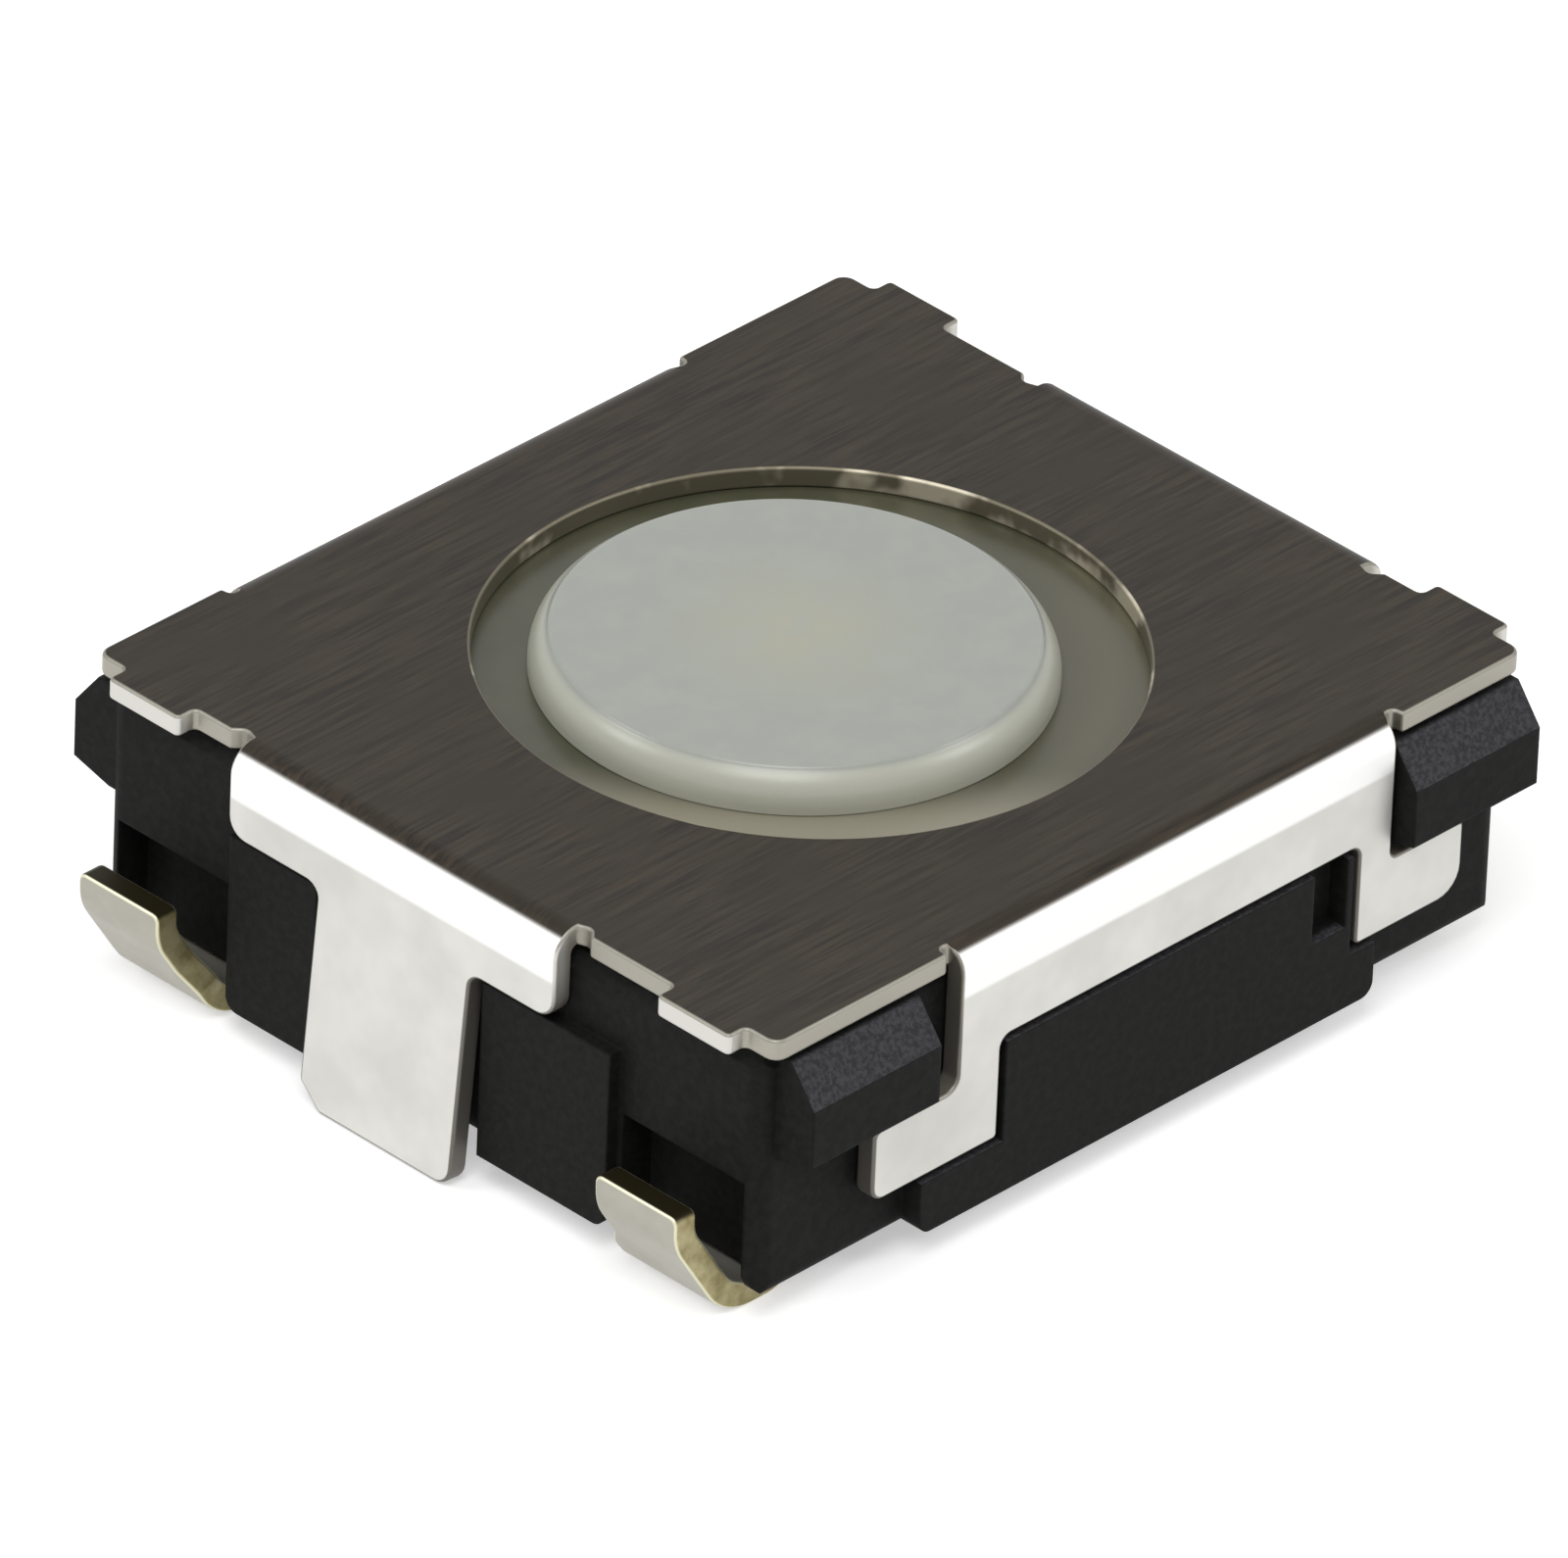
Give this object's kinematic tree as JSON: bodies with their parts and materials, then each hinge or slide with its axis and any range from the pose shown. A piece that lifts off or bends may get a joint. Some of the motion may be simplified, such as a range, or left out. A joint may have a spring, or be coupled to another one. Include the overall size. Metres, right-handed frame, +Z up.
{
  "type": "tactile push button switch",
  "caption": "Low square tactile push switch for surface mounting: folded steel cover clipped over a black moulded housing, round pale button, curled solder leads and ground tabs.",
  "frame": {"origin": "middle of the footprint, on the board that the leads and tabs stand on", "axes": "+Z up through the button, away from the board. X runs along the leads' rows, with a ground tab at each end. Y runs across, with the cover's hooked skirts on the Y sides"},
  "size_m": [0.0074, 0.0064, 0.0023],
  "materials": {
    "black_resin": "fine matte, moulded",
    "silvered_brass": "silver plated, dull",
    "spring_steel": "smooth",
    "clear_film": "translucent",
    "pale_resin": "satin, moulded",
    "cover_steel": "rolled, dull"
  },
  "bodies": {
    "switch_body": {"housing": "black_resin", "centre_contact": "silvered_brass", "rim_contact": "silvered_brass", "snap_dome": "spring_steel", "sealing_film": "clear_film", "metal_cover": "cover_steel"},
    "button": {"button": "pale_resin"}
  },
  "joints": [
    {"name": "button_press", "type": "slide", "parent": "switch_body", "child": "button", "axis": [0, 0, -1], "range_m": [0, 0.00025], "stiffness_N_per_m": 6400, "deforming": ["snap_dome", "sealing_film"]}
  ]
}
